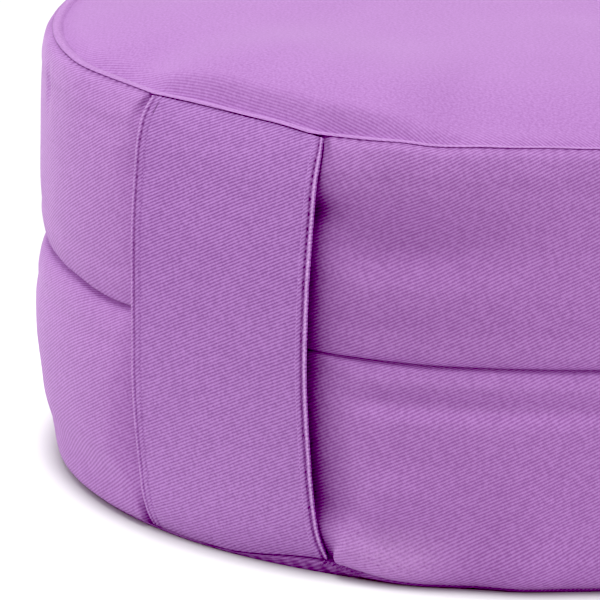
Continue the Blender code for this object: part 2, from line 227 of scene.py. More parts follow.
@dataclass(frozen=True)
class Twill:
    """Matt cotton twill: slanted ribs of soft yarn, unevenly broken, with dark valleys between them."""

    name: str
    rib_color: Color
    valley_color: Color
    # Pale colour for worn folded edges and for painted light.
    wear_and_highlight_color: Color
    # Colour of the painted shade in the top seam, the strap's hem groove, the strap's back and the base's
    # underside.
    painted_shade_color: Color
    rib_angle: float = math.radians(27.0)
    rib_spacing_mm: float = 1.0
    yarn_spacing_mm: float = 0.56
    break_length_mm: float = 1.3
    rib_height: float = 0.00007
    drift_mm: float = 0.9
    stitch_pitch_mm: float = 3.7
    stitch_pull: float = 0.75
    seams_run: float = 0.0
    roughness: float = 0.88
    shine: float = 0.15
    sheen: float = 0.28
    sheen_roughness: float = 0.40
    sheen_tint: Color = (0.95, 0.78, 1.0, 1.0)

    def material(self) -> Material:
        """Build the cloth from the piece's own map, which is in metres of flat cloth.

        Returns:
            The finished material.
        """
        material = bpy.data.materials.new(self.name)
        sketch = NodeSketch(material)
        place = self.millimetres(sketch)
        parts = sketch.node("ShaderNodeSeparateXYZ")
        sketch.feed(parts.inputs[0], place)
        weft, warp = parts.outputs["X"], parts.outputs["Y"]
        across, along = self.turned(sketch, weft, warp)
        drift = sketch.times(sketch.noise(place, 0.045, 1.0), self.drift_mm)
        step = self.ripple(sketch, sketch.math("DIVIDE", weft, self.yarn_spacing_mm))
        count = sketch.math("DIVIDE", sketch.math("ADD", across, drift), self.rib_spacing_mm)
        count = sketch.weigh(step, 0.05, count)
        rib = self.ripple(sketch, count)
        fuzz = sketch.noise(place, 2.4, 2.0)
        rib_break = self.broken(sketch, along, sketch.math("ADD", count, 0.25))
        valley_break = self.broken(sketch, along, sketch.math("ADD", count, 0.75))
        tone = sketch.weigh(rib_break, 0.75, rib)
        tone = sketch.weigh(valley_break, 0.65, tone)
        tone = sketch.weigh(fuzz, 0.60, tone)
        nap = sketch.node("ShaderNodeAttribute", attribute_name=NAP).outputs["Fac"]
        clear = sketch.math("SUBTRACT", 1.0, nap)
        tone = sketch.weigh(sketch.math("SUBTRACT", tone, 0.5), clear, 0.5)
        matted = sketch.weigh(nap, 1.1, 0.45)
        tone = sketch.weigh(sketch.noise(place, 1.1, 3.0), matted, tone)
        tone = sketch.weigh(sketch.noise(place, 0.035, 2.0), 0.16, tone)
        # Values above 0 pale the cloth towards the wear and highlight colour, which is partly wear and partly
        # painted light; values below 0 darken it with painted shade.
        wear_and_painted_light = sketch.node("ShaderNodeAttribute", attribute_name=WEAR_AND_PAINTED_LIGHT).outputs["Fac"]
        color = sketch.mix(tone, self.valley_color, self.rib_color)
        uneven = sketch.weigh(sketch.noise(place, 1.1, 2.0), 3.6, 1.0)
        color = sketch.mix(sketch.times(sketch.math("MAXIMUM", wear_and_painted_light, 0.0), uneven), color, self.wear_and_highlight_color)
        # Painted shade: below 0 the cloth is darkened towards the painted shade colour, broken into stitch
        # dashes.
        painted_shade = sketch.math("MAXIMUM", sketch.times(wear_and_painted_light, -1.0), 0.0)
        color = sketch.mix(sketch.times(painted_shade, self.dashes(sketch, weft, warp)), color, self.painted_shade_color)
        sketch.feed(sketch.shader.inputs["Base Color"], color)
        height = sketch.weigh(rib_break, 0.6, rib)
        height = sketch.weigh(fuzz, 0.9, sketch.times(height, clear))
        bump = sketch.node("ShaderNodeBump")
        sketch.feed(bump.inputs["Height"], height)
        sketch.feed(bump.inputs["Distance"], self.rib_height)
        sketch.feed(bump.inputs["Strength"], 1.0)
        sketch.feed(sketch.shader.inputs["Normal"], bump.outputs["Normal"])
        sketch.settle({"Roughness": self.roughness, "Specular IOR Level": self.shine,
                       "Sheen Weight": self.sheen, "Sheen Roughness": self.sheen_roughness,
                       "Sheen Tint": self.sheen_tint})
        return material

    @staticmethod
    def millimetres(sketch: NodeSketch) -> Socket:
        """The cloth's own map, in millimetres."""
        cloth_map = sketch.node("ShaderNodeUVMap", uv_map=CLOTH_MAP).outputs["UV"]
        scaled = sketch.node("ShaderNodeVectorMath", operation="SCALE")
        sketch.feed(scaled.inputs[0], cloth_map)
        sketch.feed(scaled.inputs["Scale"], 1.0 / MM)
        return scaled.outputs["Vector"]

    def turned(self, sketch: NodeSketch, weft: Socket, warp: Socket) -> tuple[Socket, Socket]:
        """Distances across and along the ribs."""
        cosine, sine = math.cos(self.rib_angle), math.sin(self.rib_angle)
        across = sketch.math("SUBTRACT", sketch.times(warp, cosine), sketch.times(weft, sine))
        along = sketch.math("ADD", sketch.times(warp, sine), sketch.times(weft, cosine))
        return across, along

    def broken(self, sketch: NodeSketch, along: Socket, count: Socket) -> Socket:
        """Uneven strength along one rib that has nothing to do with the rib beside it."""
        spot = sketch.node("ShaderNodeCombineXYZ")
        sketch.feed(spot.inputs["X"], sketch.math("DIVIDE", along, self.break_length_mm))
        sketch.feed(spot.inputs["Y"], sketch.times(sketch.math("FLOOR", count), 17.37))
        return sketch.noise(spot.outputs[0], 1.0, 1.0)

    def dashes(self, sketch: NodeSketch, weft: Socket, warp: Socket) -> Socket:
        """Strength of the painted seam shade along a seam, darkest where a stitch pulls the cloth in."""
        run = sketch.math("ADD", sketch.times(weft, math.cos(self.seams_run)),
                          sketch.times(warp, math.sin(self.seams_run)))
        pull = self.ripple(sketch, sketch.math("DIVIDE", run, self.stitch_pitch_mm))
        spot = sketch.node("ShaderNodeCombineXYZ")
        sketch.feed(spot.inputs["X"], run)
        uneven = sketch.weigh(sketch.noise(spot.outputs[0], 0.23, 2.0), 1.6, 0.9)
        pulled = sketch.weigh(pull, self.stitch_pull, 1.0 - self.stitch_pull)
        return sketch.times(pulled, uneven)

    @staticmethod
    def ripple(sketch: NodeSketch, turns: Socket) -> Socket:
        """A wave from 0 to 1 that repeats once a turn."""
        angle = sketch.times(turns, 2.0 * math.pi)
        return sketch.weigh(sketch.math("SINE", angle), 0.5, 0.5)


@dataclass(frozen=True)
class Thread:
    """Sewing thread: two twisted plies, a little glossier than the cloth."""

    name: str
    color: Color
    roughness: float = 0.6
    sheen: float = 0.2

    def material(self) -> Material:
        """Build the thread.

        Returns:
            The finished material.
        """
        material = bpy.data.materials.new(self.name)
        sketch = NodeSketch(material)
        place = sketch.node("ShaderNodeTexCoord").outputs["Object"]
        plies = sketch.noise(place, 2600.0, 1.0)
        darker = tuple(0.55 * part for part in self.color[:3]) + (1.0,)
        share = sketch.weigh(plies, 1.2, 0.5)
        sketch.feed(sketch.shader.inputs["Base Color"], sketch.mix(share, darker, self.color))
        sketch.settle({"Roughness": self.roughness, "Sheen Weight": self.sheen})
        return material


@dataclass(frozen=True)
class GlowingFloor:
    """A plain white studio floor that glows everywhere but under the cushion; the glow rises just past the
    cushion's foot, so the unlit ring there paints a tight contact shadow.
    """

    color: Color = (0.60, 0.60, 0.60, 1.0)
    glow: Table = (
        # from_radius, to_radius, strength added between them
        (0.1530, 0.1690, 0.44), (0.1800, 0.3600, -0.18), (0.3600, 0.9000, 0.10),
    )

    def material(self) -> Material:
        """Build the floor's glowing top.

        Returns:
            The finished material.
        """
        material = bpy.data.materials.new("glowing_floor")
        sketch = NodeSketch(material)
        place = sketch.node("ShaderNodeTexCoord").outputs["Object"]
        reach = sketch.node("ShaderNodeVectorMath", operation="LENGTH")
        sketch.feed(reach.inputs[0], place)
        total = 0.0
        for from_radius, to_radius, strength in self.glow:
            ring = sketch.node("ShaderNodeMapRange", interpolation_type="SMOOTHSTEP")
            sketch.feed(ring.inputs["Value"], reach.outputs["Value"])
            sketch.feed(ring.inputs["From Min"], from_radius)
            sketch.feed(ring.inputs["From Max"], to_radius)
            sketch.feed(ring.inputs["To Max"], strength)
            total = sketch.math("ADD", ring.outputs["Result"], total)
        sketch.settle({"Base Color": self.color, "Roughness": 0.8, "Specular IOR Level": 0.1,
                       "Emission Color": (1.0, 1.0, 1.0, 1.0)})
        # The summed rings are the floor's painted glow, given as emission.
        sketch.feed(sketch.shader.inputs["Emission Strength"], total)
        return material


CLOTH_MAP = "cloth"
WEAR_AND_PAINTED_LIGHT = "wear_and_painted_light"  # how pale the cloth is, up to 1, from wear on its folded edges and from painted light; or how much painted shade darkens it, down to -1
NAP = "nap"  # how far a soft nap hides the ribs, from 0 to 1
COVER_TWILL = Twill("plum_cover_twill", rib_color=(0.494, 0.272, 0.583, 1.0),
                    valley_color=(0.329, 0.165, 0.396, 1.0), wear_and_highlight_color=(0.640, 0.390, 0.700, 1.0),
                    painted_shade_color=(0.120, 0.035, 0.150, 1.0))
# The strap's pale colour is lighter still, because it also paints light on the strap's right edge.
STRAP_TWILL = Twill("plum_strap_twill", rib_color=(0.490, 0.268, 0.592, 1.0),
                    valley_color=(0.296, 0.148, 0.370, 1.0), wear_and_highlight_color=(0.780, 0.500, 0.840, 1.0),
                    painted_shade_color=(0.100, 0.025, 0.120, 1.0), stitch_pitch_mm=2.4, stitch_pull=0.45,
                    seams_run=math.radians(81.0))
PLUM_THREAD = Thread("plum_thread", (0.40, 0.17, 0.48, 1.0))


def finished_object(name: str, mesh: Mesh, material: Material) -> bpy.types.Object:
    """Put a mesh in the scene, dressed and smooth, with its object at the origin.

    Args:
        name: The piece's name.
        mesh: Its finished mesh.
        material: What it is made of.

    Returns:
        The piece.
    """
    mesh.materials.clear()
    mesh.materials.append(material)
    mesh.shade_smooth()
    piece = bpy.data.objects.new(name, mesh)
    bpy.context.scene.collection.objects.link(piece)
    return piece


def mark(mesh: Mesh, name: str, values: Array) -> None:
    """Keep a value at each vertex, for the cloth's material to read."""
    mesh.attributes.new(name, "FLOAT", "POINT").data.foreach_set("value", values.astype(np.float32))


def lay_map(mesh: Mesh, u: Array, v: Array) -> None:
    """Keep each face corner's place on the flat cloth, in metres."""
    cloth = mesh.uv_layers.new(name=CLOTH_MAP)
    cloth.data.foreach_set("uv", np.stack([u, v], axis=1).astype(np.float32).ravel())


def coordinates(mesh: Mesh) -> Array:
    """A mesh's vertices as rows of x, y and z."""
    flat = np.zeros(len(mesh.vertices) * 3, np.float32)
    mesh.vertices.foreach_get("co", flat)
    return flat.reshape(-1, 3).astype(float)


def place_vertices(mesh: Mesh, points: Array) -> None:
    """Move a mesh's vertices to rows of x, y and z."""
    mesh.vertices.foreach_set("co", points.astype(np.float32).ravel())
    mesh.update()


def loop_vertices(mesh: Mesh) -> Array:
    """The vertex of each face corner, in order."""
    corners = np.zeros(len(mesh.loops), np.int32)
    mesh.loops.foreach_get("vertex_index", corners)
    return corners


def face_corners(mesh: Mesh) -> tuple[Array, Array, Array]:
    """Sort a mesh's corners by face.

    Args:
        mesh: The mesh.

    Returns:
        Each face's first corner, its number of corners, and the face of each corner.
    """
    starts = np.zeros(len(mesh.polygons), np.int32)
    totals = np.zeros(len(mesh.polygons), np.int32)
    mesh.polygons.foreach_get("loop_start", starts)
    mesh.polygons.foreach_get("loop_total", totals)
    return starts, totals, np.repeat(np.arange(len(starts)), totals)


# ---------------------------------------------------------------- the strap's line over the side
@dataclass(frozen=True)
class StrapLine:
    """Where the carry strap runs: its outline from the side, and the room behind it."""

    top_height: float = 0.1435
    middle_height: float = 0.0732
    base_height: float = 0.0036
    sewn_gap: float = 0.00012
    shift: float = 0.0006
    hem_thickness: float = 0.0019
    hem_width: float = 0.0038
    sections: Table = (
        # height, stand_off, bow, half_width
        (0.0038, 0.1510, 0.0046, 0.0362), (0.0080, 0.1536, 0.0040, 0.0364),
        (0.0140, 0.1562, 0.0033, 0.0364), (0.0220, 0.1581, 0.0026, 0.0363),
        (0.0330, 0.1600, 0.0020, 0.0362), (0.0480, 0.1618, 0.0016, 0.0361),
        (0.0660, 0.1628, 0.0013, 0.0358), (0.0860, 0.1630, 0.0011, 0.0360),
        (0.1040, 0.1625, 0.0010, 0.0363), (0.1200, 0.1611, 0.0008, 0.0365),
        (0.1310, 0.1597, 0.0005, 0.0365), (0.1385, 0.1573, 0.0002, 0.0360),
        (0.1432, 0.1547, 0.0000, 0.0346),
    )
    press_spread: float = 0.026
    foot_spread: float = 0.012
    tight_share: float = 0.18
    seam_spread: float = 0.0040
    left_room: float = 0.25
    room_behind: Table = (
        # height, room between the hem's back and the side band
        (0.0040, 0.0002), (0.0090, 0.0002), (0.0162, 0.0003), (0.0188, 0.0016), (0.0220, 0.0036),
        (0.0290, 0.0042), (0.0450, 0.0043), (0.0600, 0.0044), (0.0700, 0.0050), (0.0760, 0.0049),
        (0.0880, 0.0043), (0.1000, 0.0040), (0.1080, 0.0029), (0.1130, 0.0036), (0.1180, 0.0054),
        (0.1225, 0.0048), (0.1262, 0.0016), (0.1295, 0.0003), (0.1385, 0.0002), (0.1432, 0.0001),
    )

    def stand_off(self, height: Array) -> Array:
        """Distance of the strap's two edges from the cushion's axis."""
        return smooth_table(self.sections, 1, height)

    def bow(self, height: Array) -> Array:
        """How much further out than its edges the strap's middle stands."""
        return smooth_table(self.sections, 2, height)

    def half_width(self, height: Array) -> Array:
        """Half of the strap's width."""
        return smooth_table(self.sections, 3, height)

    def depth(self, height: Array) -> Array:
        """Thickness of the hem measured straight inwards, deeper where the strap slopes."""
        step = 0.5 * MM
        slope = (self.stand_off(height + step) - self.stand_off(height - step)) / (2.0 * step)
        return self.hem_thickness * np.sqrt(1.0 + slope * slope)

    def limit_behind(self, across: Array, height: Array) -> Array:
        """Furthest that a side band may reach towards -Y behind and beside the strap.

        Args:
            across: Distance to the side of the strap's middle line.
            height: Height on the strap.

        Returns:
            Distance from the cushion's axis, towards -Y.
        """
        across = across - self.shift
        side = self.left_room + (1.0 - self.left_room) * smooth_step(-0.030, 0.020, across)
        back = self.stand_off(height) - self.depth(height) - side * smooth_table(self.room_behind, 1, height)
        from_end = np.minimum(self.top_height - height, height - self.base_height)
        sewn = 1.0 - smooth_step(0.0, 0.016, from_end)
        half = self.half_width(height)
        share = np.minimum(1.0, np.abs(across) / half)
        back = back + sewn * self.bow(height) * (1.0 - share * share)
        past = np.clip(np.abs(across) - half - 0.2 * MM, 0.0, None)
        from_end = np.where(across > 0.0, self.top_height - height,
                            np.minimum(self.top_height - height, height - self.base_height))
        freed = smooth_step(0.001, 0.015, from_end)
        narrow = np.where(height < self.middle_height, self.foot_spread, self.seam_spread)
        spread = narrow + (self.press_spread - narrow) * freed
        spread = spread * (self.tight_share + (1.0 - self.tight_share) * smooth_step(0.006, 0.021, height))
        seam = 0.6 * MM * np.exp(-((height - self.middle_height) / (0.6 * MM)) ** 2)
        return back + 0.0042 * (past / spread) ** 2 - seam


# ---------------------------------------------------------------- the filled cover
class Panel(Enum):
    """The cloth panels that the cover is sewn from, in order down its side."""

    TOP = 0
    UPPER_BAND = 1
    LOWER_BAND = 2
    BASE = 3


@dataclass
class FilledCover:
    """The sewn cover with its filling: one closed padded form with its seams."""

    strap: StrapLine
    top_radius: float = 0.1592
    top_height: float = 0.1435
    middle_radius: float = 0.1596
    middle_height: float = 0.0732
    base_radius: float = 0.1555
    base_height: float = 0.0036
    flat_radius: float = 0.1548
    crown_height: float = 0.0135
    crown_fullness: float = 6.0
    ridge_width: float = 0.0030
    ridge_rise: float = 0.0004
    seam_depth: float = 0.0005
    seam_lip: float = 0.0002
    columns: int = 430
    top_rib_direction: float = math.radians(-3.0)
    shoulder_rise: float = 0.0062
    bulges: tuple[float, float] = (0.0042, 0.0072)
    squareness: tuple[float, float] = (3.4, 2.5)
    roundness: tuple[float, float, float] = (2.1, 1.6, 1.8)
    allowance_width: float = 0.0085
    allowance_rise: float = 0.0005
    tuck_run_out: float = 0.0075
    tuck_slack: float = 0.0050
    base_rib_turn: float = 0.6
    nap_sat_on: float = 0.92
    nap_lost_at_rim: float = 0.62
    nap_carried: float = 0.70
    ridge_pale: float = 0.20
    # The next four values paint light and shade: a pale spot by the strap's foot, shade on the base's
    # underside and shade in the top seam.
    foot_painted_light: float = 0.34
    under_painted_shade: float = 0.55
    seam_painted_shade: float = 0.85
    seam_painted_shade_eased: float = 0.35
    top_wander: Table = (
        # direction, half_spread, lift
        (-9.0, 13.0, 0.0006), (13.5, 9.0, -0.0010), (17.0, 20.0, -0.0005), (27.0, 5.0, -0.0008),
        (75.0, 24.0, 0.0007), (128.0, 30.0, -0.0009), (176.0, 26.0, 0.0008), (-132.0, 22.0, -0.0007),
        (-80.0, 30.0, 0.0018),
    )
    middle_wander: Table = (
        # direction, half_spread, lift
        (-20.0, 10.0, -0.0009), (24.0, 12.0, -0.0005), (92.0, 30.0, 0.0010), (150.0, 26.0, -0.0008),
        (-150.0, 28.0, 0.0009), (-85.0, 26.0, -0.0006),
    )
    base_wander: Table = (
        # direction, half_spread, lift
        (12.5, 14.0, 0.0036), (-167.5, 40.0, 0.0012),
    )
    base_sag: float = 0.0026
    base_spread: Table = (
        # direction, half_spread, outward
        (21.0, 11.0, 0.0030), (37.0, 6.0, 0.0014), (78.0, 9.0, -0.0010), (118.0, 8.0, 0.0012),
        (171.0, 10.0, -0.0011), (-140.0, 8.0, 0.0012), (-98.0, 9.0, -0.0010), (-52.0, 20.0, -0.0010),
    )
    puckers: Table = (
        # direction, half_spread, height, reach, depth
        (-19.0, 12.0, 0.1435, 0.034, 0.0024), (14.5, 6.5, 0.1435, 0.020, 0.0022),
        (27.5, 3.6, 0.1435, 0.020, 0.0010), (39.0, 4.6, 0.1435, 0.016, 0.0009),
        (64.0, 4.6, 0.1435, 0.024, 0.0011), (101.0, 4.6, 0.1435, 0.030, 0.0013),
        (139.0, 4.6, 0.1435, 0.022, 0.0010), (168.0, 4.6, 0.1435, 0.028, 0.0012),
        (-152.0, 4.6, 0.1435, 0.020, 0.0011), (-117.0, 4.6, 0.1435, 0.030, 0.0013),
        (-96.0, 4.6, 0.1435, 0.022, 0.0008), (-33.0, 4.6, 0.0036, 0.018, 0.0009),
        (30.0, 3.6, 0.0036, 0.016, 0.0010), (84.0, 4.6, 0.0036, 0.024, 0.0013),
        (147.0, 4.6, 0.0036, 0.022, 0.0011), (-141.0, 4.6, 0.0036, 0.024, 0.0013),
        (-92.0, 4.6, 0.0036, 0.020, 0.0011), (55.0, 4.6, 0.0732, 0.016, 0.0008),
        (121.0, 4.6, 0.0732, 0.018, 0.0009), (-167.0, 4.6, 0.0732, 0.016, 0.0008),
        (-104.0, 4.6, 0.0732, 0.018, 0.0009),
    )
    hollows: Table = (
        # direction, half_spread, height, half_height, depth
        (23.0, 21.0, 0.1135, 0.0170, 0.0056), (21.0, 11.0, 0.0205, 0.0135, 0.0041),
        (-30.0, 36.0, 0.0090, 0.0170, 0.0026), (-38.8, 1.6, 0.1300, 0.0125, 0.0010),
        (88.0, 18.0, 0.0300, 0.014, 0.0010), (146.0, 20.0, 0.1180, 0.013, 0.0013),
        (-158.0, 18.0, 0.0360, 0.014, 0.0011), (-101.0, 20.0, 0.1200, 0.012, 0.0012),
        (-62.0, 14.0, 0.0280, 0.012, 0.0009),
    )
    channels: Table = (
        # height, half_height, depth of the shallow valley that runs beside a seam's allowance
        (0.0838, 0.0092, 0.0022), (0.0618, 0.0070, 0.0024),
    )
    lumps: Table = (
        # waves_around, waves_up, phase, height
        (3, 1.0, 0.4, 0.0006), (5, 2.0, 2.1, 0.0005), (8, 3.0, 4.4, 0.0003), (13, 2.0, 1.3, 0.0002),
    )

    # ---- the outline that is turned into the cover
    def stretches(self) -> list[tuple[Panel, int, Callable[[Array], Array]]]:
        """The outline from the crown down to the middle of the base.

        Returns:
            Each stretch's panel, its number of rows, and its curve from shares to (radius, height).
        """
        top = (self.top_radius, self.top_height)
        middle = (self.middle_radius, self.middle_height)
        base = (self.base_radius, self.base_height)
        return [
            (Panel.TOP, 44, self.crown_curve),
            (Panel.TOP, 9, self.ridge_curve),
            (Panel.TOP, 2, self.crevice_curve((top[0] + self.seam_lip, top[1] + self.seam_lip), top)),
            (Panel.UPPER_BAND, 56, self.band_curve(top, middle, 0)),
            (Panel.LOWER_BAND, 54, self.band_curve(middle, base, 1)),
            (Panel.BASE, 12, self.under_curve),
            (Panel.BASE, 8, self.floor_curve),
        ]

    def crown_curve(self, share: Array) -> Array:
        """Top panel, from the middle of the crown out to the inner foot of the seam ridge."""
        out = np.sin(0.5 * math.pi * share)
        fall = out ** self.crown_fullness
        height = self.top_height + self.seam_lip + self.crown_height * (1.0 - fall)
        return np.stack([(self.top_radius - self.ridge_width) * out, height], axis=1)

    def ridge_curve(self, share: Array) -> Array:
        """The low round ridge over the seam allowance, out to its lip above the top seam."""
        radius = self.top_radius - self.ridge_width + (self.ridge_width + self.seam_lip) * share
        rise = self.ridge_rise * np.sin(math.pi * np.clip(share, 0.0, 1.0) ** 1.15) ** 0.75
        return np.stack([radius, self.top_height + self.seam_lip + rise], axis=1)

    def crevice_curve(self, upper: tuple[float, float],
                      lower: tuple[float, float]) -> Callable[[Array], Array]:
        """The narrow crevice where two panels meet.

        Args:
            upper: Radius and height of its upper lip.
            lower: Radius and height of its lower lip.

        Returns:
            The crevice's curve.
        """
        def curve(share: Array) -> Array:
            """Radius and height down the crevice."""
            inwards = self.seam_depth * (1.0 - np.abs(2.0 * share - 1.0))
            radius = upper[0] + (lower[0] - upper[0]) * share - inwards
            height = upper[1] + (lower[1] - upper[1]) * share
            return np.stack([radius, height], axis=1)
        return curve

    def band_curve(self, upper: tuple[float, float], lower: tuple[float, float],
                   band: int) -> Callable[[Array], Array]:
        """One side band, bulged between its two seams, with a soft strip over each seam allowance.

        Args:
            upper: Radius and height of its upper seam.
            lower: Radius and height of its lower seam.
            band: 0 for the upper band and 1 for the lower band.

        Returns:
            The band's curve, with its rows closest together at the seams.
        """
        def curve(share: Array) -> Array:
            """Radius and height down the band."""
            down = 0.5 - 0.5 * np.cos(math.pi * share)
            down = 0.55 * down + 0.45 * share
            radius = upper[0] + (lower[0] - upper[0]) * down
            height = upper[1] + (lower[1] - upper[1]) * down
            roll = self.roundness[band] + (self.roundness[band + 1] - self.roundness[band]) * down
            full = (1.0 - np.abs(2.0 * down - 1.0) ** self.squareness[band]) ** (1.0 / roll)
            from_seam = np.minimum(upper[1] - height, height - lower[1])
            strip = (smooth_step(0.0, 2.0 * MM, from_seam)
                     * (1.0 - smooth_step(self.allowance_width, self.allowance_width + 4.5 * MM, from_seam)))
            tuck = self.seam_depth * np.exp(-(from_seam / (0.35 * MM)) ** 2)
            radius = radius + self.bulges[band] * full + self.allowance_rise * strip - tuck
            return np.stack([radius, height], axis=1)
        return curve

    def under_curve(self, share: Array) -> Array:
        """The base panel's edge, rolled under from the bottom seam to the floor."""
        roll = self.base_radius - self.flat_radius
        radius = self.base_radius - self.seam_depth * np.exp(-(share / 0.05) ** 2) - roll * share ** 1.3
        return np.stack([radius, self.base_height * (1.0 - share) ** 2.0 * 0.93], axis=1)

    def floor_curve(self, share: Array) -> Array:
        """The flat of the base panel, to its middle."""
        return np.stack([self.flat_radius * (1.0 - share), 0.0 * share], axis=1)

    def turned(self) -> tuple[Mesh, Array, Array, Array]:
        """Spin the outline about the cushion's axis.

        Returns:
            The closed mesh, and each vertex's radius, direction in degrees and place down the outline.
        """
        outline = bmesh.new()
        row_of = outline.verts.layers.float.new("row")
        previous = outline.verts.new((0.0, 0.0, self.top_height + self.seam_lip + self.crown_height))
        row = 0
        for _, rows, curve in self.stretches():
            for radius, height in curve(np.linspace(0.0, 1.0, rows + 1))[1:]:
                row += 1
                point = outline.verts.new((0.0, -max(radius, 0.0), height))
                point[row_of] = float(row)
                outline.edges.new((previous, point))
                previous = point
        bmesh.ops.spin(outline, geom=outline.verts[:] + outline.edges[:], cent=(0.0, 0.0, 0.0),
                       axis=(0.0, 0.0, 1.0), angle=2.0 * math.pi, steps=self.columns, use_merge=True,
                       use_duplicate=False)
        bmesh.ops.remove_doubles(outline, verts=outline.verts, dist=1e-6)
        bmesh.ops.recalc_face_normals(outline, faces=outline.faces)
        rows_down = np.array([vertex[row_of] for vertex in outline.verts])
        mesh = bpy.data.meshes.new("cushion_cover")
        outline.to_mesh(mesh)
        outline.free()
        points = coordinates(mesh)
        radius = np.hypot(points[:, 0], points[:, 1])
        direction = np.degrees(np.arctan2(points[:, 0], -points[:, 1]))
        return mesh, radius, self.crowded(direction), rows_down

    def crowded(self, direction: Array) -> Array:
        """Bring the turned columns closer together at the strap's edges.

        Args:
            direction: Evenly spread directions, in degrees.

        Returns:
            The directions that they move to.
        """
        fine = np.linspace(-180.0, 180.0, 7201)
        weight = 1.0 + 2.6 * np.exp(-((np.abs(fine) - 13.0) / 2.2) ** 2) + 0.35 * np.exp(-(fine / 55.0) ** 2)
        passed = np.concatenate(([0.0], np.cumsum(0.5 * (weight[1:] + weight[:-1]))))
        return np.interp(direction, passed / passed[-1] * 360.0 - 180.0, fine)

    # ---- how the filled cover settles
    @staticmethod
    def wander(rows: Table, degrees: Array) -> Array:
        """Sum of a table's soft bumps around the cushion."""
        total = np.zeros_like(degrees)
        for centre, half_spread, lift in rows:
            total += lift * around(degrees, centre, half_spread)
        return total

    def dents(self, degrees: Array, height: Array) -> Array:
        """Depth of the puckers and hollows of the side."""
        total = np.zeros_like(degrees)
        for centre, half_spread, level, reach, depth in self.puckers:
            away = np.clip(1.0 - np.abs(height - level) / reach, 0.0, 1.0)
            total += depth * around(degrees, centre, half_spread) * away ** 2
        for centre, half_spread, level, half_height, depth in self.hollows:
            total += (depth * around(degrees, centre, half_spread)
                      * soft_bump(height - level, half_height))
        for level, half_height, depth in self.channels:
            uneven = (0.75 + 0.25 * np.sin(np.radians(5.0 * degrees) + 1000.0 * level)) * (
                0.15 + 0.85 * right_of_strap(6.0, 22.0, degrees))
            total += depth * uneven * soft_bump(height - level, half_height)
        return total

    def lump(self, degrees: Array, height: Array) -> Array:
        """How far the loose filling pushes the cover out, or leaves it slack."""
        total = np.zeros_like(degrees)
        for waves_around, waves_up, phase, size in self.lumps:
            upward = np.cos(waves_up * math.pi * height / self.top_height + phase)
            total += size * np.sin(waves_around * np.radians(degrees) + phase) * upward
        return total

    def shoulder(self, setback: Array) -> Array:
        """Rise of the full shoulder that the filling makes behind the strap's end of the top seam."""
        return (self.shoulder_rise * smooth_step(-0.0006, 0.0048, setback)
                * (1.0 - smooth_step(0.006, 0.080, setback)))

    @staticmethod
    def over_strap(degrees: Array) -> Array:
        """How fully each direction takes part in that shoulder."""
        return (smooth_step(-22.0, -3.0, degrees) * (1.0 - smooth_step(14.0, 32.0, degrees))
                + 0.30 * around(degrees, -30.0, 26.0))

    def cloth_out(self, points: Array, degrees: Array, rows_down: Array) -> Array:
        """Length of cloth from the middle of the crown out to each vertex of the settled top panel.

        Args:
            points: The settled vertices.
            degrees: Direction of each vertex before the cover settled.
            rows_down: Place of each vertex down the outline.

        Returns:
            One length a vertex, and 0 past the top panel.
        """
        top_rows = sum(rows for panel, rows, _ in self.stretches() if panel is Panel.TOP)
        crown = points[np.argmin(rows_down)]
        top = np.flatnonzero((rows_down > 0.5) & (rows_down < top_rows + 0.5))
        order = top[np.lexsort(((degrees[top] + 0.2) % 360.0, rows_down[top]))].reshape(top_rows, -1).T
        lines = np.concatenate([np.broadcast_to(crown, (len(order), 1, 3)), points[order]], axis=1)
        steps = np.linalg.norm(np.diff(lines, axis=1), axis=2)
        lengths = np.zeros(len(points))
        lengths[order] = np.cumsum(steps, axis=1)
        return lengths

    def gathers(self, points: Array, from_seam: Array) -> Array:
        """Small uneven gathers along a seam, where the stitching takes up a little cloth."""
        near = rough(points, 0.0045, 3.0) * 0.10 * MM * np.exp(-from_seam / 0.0030)
        wide = rough(points, 0.0130, 7.0) * 0.30 * MM * np.exp(-from_seam / 0.0100)
        broad = rough(points, 0.0340, 11.0) * 0.45 * MM
        return near + wide + broad

    def settled(self, radius: Array, degrees: Array, height: Array, on_top: Array) -> Array:
        """Where the turned outline lies once the cover is filled and the strap is on.

        Args:
            radius: Distance of each point from the axis.
            degrees: Its direction.
            height: Its height.
            on_top: True for points of the top panel.

        Returns:
            The points' places, one row each.
        """
        top_share = smooth_step(self.middle_height, self.top_height, height)
        middle_share = smooth_step(self.base_height, self.middle_height, height) * (1.0 - top_share)
        inside = smooth_step(0.55 * self.top_radius, self.top_radius, radius)
        base_share = smooth_step(0.0, self.base_height, height) * (1.0 - smooth_step(
            self.base_height, self.base_height + 0.020, height))
        lift = inside * (top_share * self.wander(self.top_wander, degrees)
                         + middle_share * self.wander(self.middle_wander, degrees)
                         + base_share * (self.wander(self.base_wander, degrees) - self.base_sag))
        aloft = smooth_step(self.base_height, 4.0 * self.base_height, height)
        lump = self.lump(degrees, height)
        setback = self.top_radius - self.ridge_width - radius
        crown = ((1.0 - inside) * smooth_step(0.0, 0.6 * self.top_radius, radius) * lump
                 + self.shoulder(setback) * self.over_strap(degrees))
        lift = lift + np.where(on_top, crown, 0.0)
        fullness = (1.0 + 0.16 * around(degrees, -60.0, 60.0)
                    - 0.34 * right_of_strap(8.0, 45.0, degrees))
        on_ridge = np.where(on_top, 1.0 - smooth_step(0.0, 3.0 * self.ridge_width, setback), 0.0)
        radius = radius + on_ridge * (1.0 - fullness) * np.clip(self.top_radius - radius, 0.0, None)
        bulge = np.clip(height - self.top_height - self.seam_lip, 0.0, self.ridge_rise)
        height = height + on_ridge * (fullness - 1.0) * bulge
        turn = np.radians(degrees)
        start_radius = radius
        start = np.stack([radius * np.sin(turn), -radius * np.cos(turn), height], axis=1)
